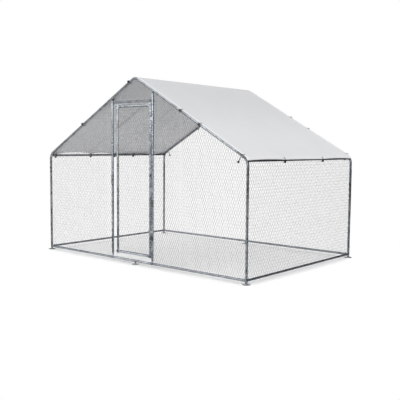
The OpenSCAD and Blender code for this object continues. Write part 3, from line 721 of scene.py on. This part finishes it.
def makeAllNetting():
    w, d, base, n = run["halfWidth"], run["halfDepth"], run["baseHeight"], netStyle["plane"]
    gap = netStyle["postGap"]
    latch, hinge = run["latchPost"], run["hingePost"]
    front = Matrix.Translation((0, -d - n, 0))
    back = Matrix.Translation((0, d + n, 0)) @ Matrix.Rotation(math.pi, 4, "Z")
    makeNetting("frontLeftNetting", "front_left_netting", gableOutline(-w, latch - gap, base),
                front, towardsPost(latch, -1))
    makeNetting("frontRightNetting", "front_right_netting", gableOutline(hinge + gap, w, base),
                front, towardsPost(hinge, 1))
    makeNetting("gableNetting", "gable_netting",
                gableOutline(latch + gap, hinge - gap, run["headerHeight"]), front)
    makeNetting("backNetting", "back_netting", gableOutline(-w, w, base), back)
    wall = [(-d, base), (d, base), (d, eaveHeight), (-d, eaveHeight)]
    for side, name, turn in ((-1, "left", 0.0), (1, "right", netStyle["rightShadeTurn"])):
        place = Matrix.Translation((side * (w + n), 0, 0)) @ Matrix.Rotation(side * math.pi / 2, 4, "Z")
        makeNetting(name + "Netting", name + "_netting", wall, place, towardsEave, turn=turn)
    tilt = math.atan((ridgeHeight - eaveHeight) / eaveX)
    reach = d - netStyle["roofInset"]
    slope = eaveX / math.cos(tilt)
    roof = [(-reach, -slope), (reach, -slope), (reach, 0), (-reach, 0)]
    for side, name in ((-1, "Left"), (1, "Right")):
        down = Matrix.Rotation(side * math.pi / 2, 4, "Z") @ Matrix.Rotation(tilt - math.pi / 2, 4, "X")
        place = Matrix.Translation((0, 0, ridgeHeight)) @ down @ Matrix.Translation((0, -n, 0))
        makeNetting("roof" + name + "Netting", "roof_" + name.lower() + "_netting", roof, place,
                    looks=("wire", "wire"))
    low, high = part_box("door_netting")
    panel = [(low.x, low.z), (high.x, low.z), (high.x, high.z), (low.x, high.z)]
    makeNetting("doorNetting", "door_netting", panel, Matrix.Translation((0, -d, 0)), None, "door")


profile = wireProfile()
makeAllNetting()
bpy.data.objects.remove(profile)
print("netting made")


# how far an eave's edge is drawn up: set at each bungee, with a curve between two of them
def edgeDraw(along, side):
    name = "right" if side > 0 else "left"
    places, drawn, between = (coverStyle[name + k] for k in ("Eave", "Drawn", "Between"))
    for i, (a, b) in enumerate(zip(places, places[1:])):
        if along <= b or i == len(between) - 1:
            t = min(1.0, max(0.0, (along - a) / (b - a)))
            return drawn[i] + (drawn[i + 1] - drawn[i]) * smooth(t) + between[i] * 4 * t * (1 - t)


# place and lean of the sheet at a distance from the ridge, in the plane of the gable
def coverLine(flat):
    x, z, turn = 0.0, ridgeCentre + coverRadius, 0.0
    for length, radius in coverPath:
        step = max(0.0, min(flat, length))
        flat -= step
        if radius:
            after = turn + step / radius
            x += radius * (math.sin(after) - math.sin(turn))
            z += radius * (math.cos(after) - math.cos(turn))
            turn = after
        else:
            x += step * math.cos(turn)
            z -= step * math.sin(turn)
    return x, z, turn


# the flat sheet bent over the ridge and the eaves, with its sag, creases and drawn edges
def coverPoint(u, v):
    c = coverStyle
    side = 1 if u > 0 else -1
    draw = edgeDraw(v + run["halfDepth"], side)
    rim = smooth(1 - (coverHalf - abs(u)) / c["rim"])
    x, z, turn = coverLine(abs(u) - draw * rim)
    up = Vector((side * math.sin(turn), 0, math.cos(turn)))
    slope = max(0.0, abs(u) - coverPath[0][0]) / coverPath[1][0]
    inner = math.sin(math.pi * min(1.0, slope)) ** c["sagCurve"]
    across = max(0.0, 1 - (v / run["halfDepth"]) ** 2)
    lift = -c["sag"] * inner * across
    alongShare, acrossShare = c["broadStretch"]
    broad = noise.noise(Vector((
        c["broadScale"] * (u + c["broadSkew"] * v * side),
        alongShare * v - acrossShare * u,
        c["broadSeed"] + side,
    )))
    first, second = c["sharpScale"]
    sharp = abs(noise.noise(Vector((first * (u * side - v), second * (u + v), c["sharpSeed"]))))
    sharp = 1 - min(1.0, sharp * c["sharpness"])
    lift += c["crease"] * (broad + c["sharpShare"] * sharp) * inner * across ** 0.5
    if side < 0:
        pleat = math.exp(-((v - c["pleat"]) / c["pleatWidth"]) ** 2)
        pleat *= smooth((-u - c["pleatFrom"]) / c["pleatSoft"])
        pleat *= smooth((c["pleatTo"] + u) / c["pleatSoft"])
        lift += c["pleatDepth"] * pleat
    return Vector((side * x, v, z)) + up * lift


def makeCover():
    c = coverStyle
    bm = bmesh.new()
    bm.loops.layers.uv.new("flat")
    # a unit square, then its flat size
    bmesh.ops.create_grid(
        bm, x_segments=c["acrossCells"], y_segments=c["alongCells"], size=0.5, calc_uvs=True)
    bmesh.ops.scale(bm, vec=(*coverFlat, 1), verts=bm.verts[:])
    for vert in bm.verts:
        vert.co = coverPoint(vert.co.x, vert.co.y)
    mesh = bpy.data.meshes.new("roofCover")
    bm.to_mesh(mesh)
    bm.free()
    piece = bpy.data.objects.new("roofCover", mesh)
    scene.collection.objects.link(piece)
    paint(piece, "cover", "inside")
    mesh.shade_smooth()
    wall = piece.modifiers.new("thickness", "SOLIDIFY")
    wall.thickness = c["thick"]
    wall.offset = 0
    wall.use_even_offset = True
    wall.material_offset = 1
    wall.material_offset_rim = 0
    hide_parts("roof_cover")
    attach(piece, "frame")


makeCover()
print("cover made, flat size %.3f by %.3f m" % coverFlat)

# white studio: a pale floor, an even sky and one broad lamp overhead
studio = {
    "sky": 1.22,
    "lamp": 0.3,
    "lampSpread": 22,
    "lampTurn": (2, -3, 0),
    "floor": (0.97, 0.97, 0.972),
    "floorSize": (1.58, 1.08),
    "floorDrop": 0.0005,
    "floorGrain": (3.0, 2, 0.5),
    "floorDark": 0.995,
    "floorRough": 0.9,
    # what shiny metal mirrors: dark flags with bright screens between them, ceiling and ground
    "flag": 0.05,
    # each screen: its direction, its level, where its soft edge starts and ends
    "screens": (
        ((0.55, -0.8, 0.3), 7.0, 0.86, 0.97),
        ((-0.66, -0.74, 0.1), 4.0, 0.78, 0.96),
        ((-0.2, -0.55, 0.8), 1.0, 0.78, 0.96),
        ((-0.62, 0.72, 0.3), 1.2, 0.965, 0.995),
    ),
    "screenFoot": (-0.05, 0.08),
    "ceiling": 0.9,
    "ceilingFrom": (0.5, 0.85),
    "ground": 1.2,
    "groundFrom": (0.1, 0.4),
    "groundFront": (-0.2, 0.3),
}


def setFloor():
    bm = bmesh.new()
    bmesh.ops.create_grid(bm, x_segments=1, y_segments=1, size=1)
    bmesh.ops.scale(bm, vec=(*studio["floorSize"], 1), verts=bm.verts[:])
    bmesh.ops.translate(bm, vec=(0, 0, -studio["floorDrop"]), verts=bm.verts[:])
    mesh = bpy.data.meshes.new("floor")
    bm.to_mesh(mesh)
    bm.free()
    floor = bpy.data.objects.new("floor", mesh)
    scene.collection.objects.link(floor)
    f = Finish("paleFloor")
    grain = f.noise(f.coords(), *studio["floorGrain"])
    dark = tuple(level * studio["floorDark"] for level in studio["floor"])
    tone = f.mix(grain, dark, studio["floor"])
    mesh.materials.append(f.set(Base_Color=tone, Roughness=studio["floorRough"], Specular_IOR_Level=0.0))


def setStudio():
    f = Finish("studio", world=True)
    aim = f.coords("Generated")
    rise = f.axis(aim, "Z")
    mirrored = f.between(rise, *studio["ceilingFrom"]) * studio["ceiling"] + studio["flag"]
    below = f.between(rise * -1, *studio["groundFrom"])
    before = f.between(f.axis(aim, "Y") * -1, *studio["groundFront"])
    mirrored = mirrored + below * before * studio["ground"]
    foot = f.between(rise, *studio["screenFoot"])
    for side, level, start, end in studio["screens"]:
        facing = f.make("ShaderNodeVectorMath", {"operation": "DOT_PRODUCT"},
                        {0: aim, 1: Vector(side).normalized()}, "Value")
        mirrored = mirrored + f.between(facing, start, end) * foot * level
    seen = f.make("ShaderNodeLightPath", output="Is Camera Ray")
    glossy = f.make("ShaderNodeLightPath", output="Is Glossy Ray")
    other = studio["sky"] + glossy * (mirrored - studio["sky"])
    scene.world = f.set(Color=(1, 1, 1, 1), Strength=other + seen * (1 - other))
    lamp = bpy.data.lights.new("overhead", "SUN")
    lamp.energy = studio["lamp"]
    lamp.angle = math.radians(studio["lampSpread"])
    lampPiece = bpy.data.objects.new("overhead", lamp)
    lampPiece.rotation_euler = [math.radians(a) for a in studio["lampTurn"]]
    scene.collection.objects.link(lampPiece)


setFloor()
setStudio()
print("studio set")
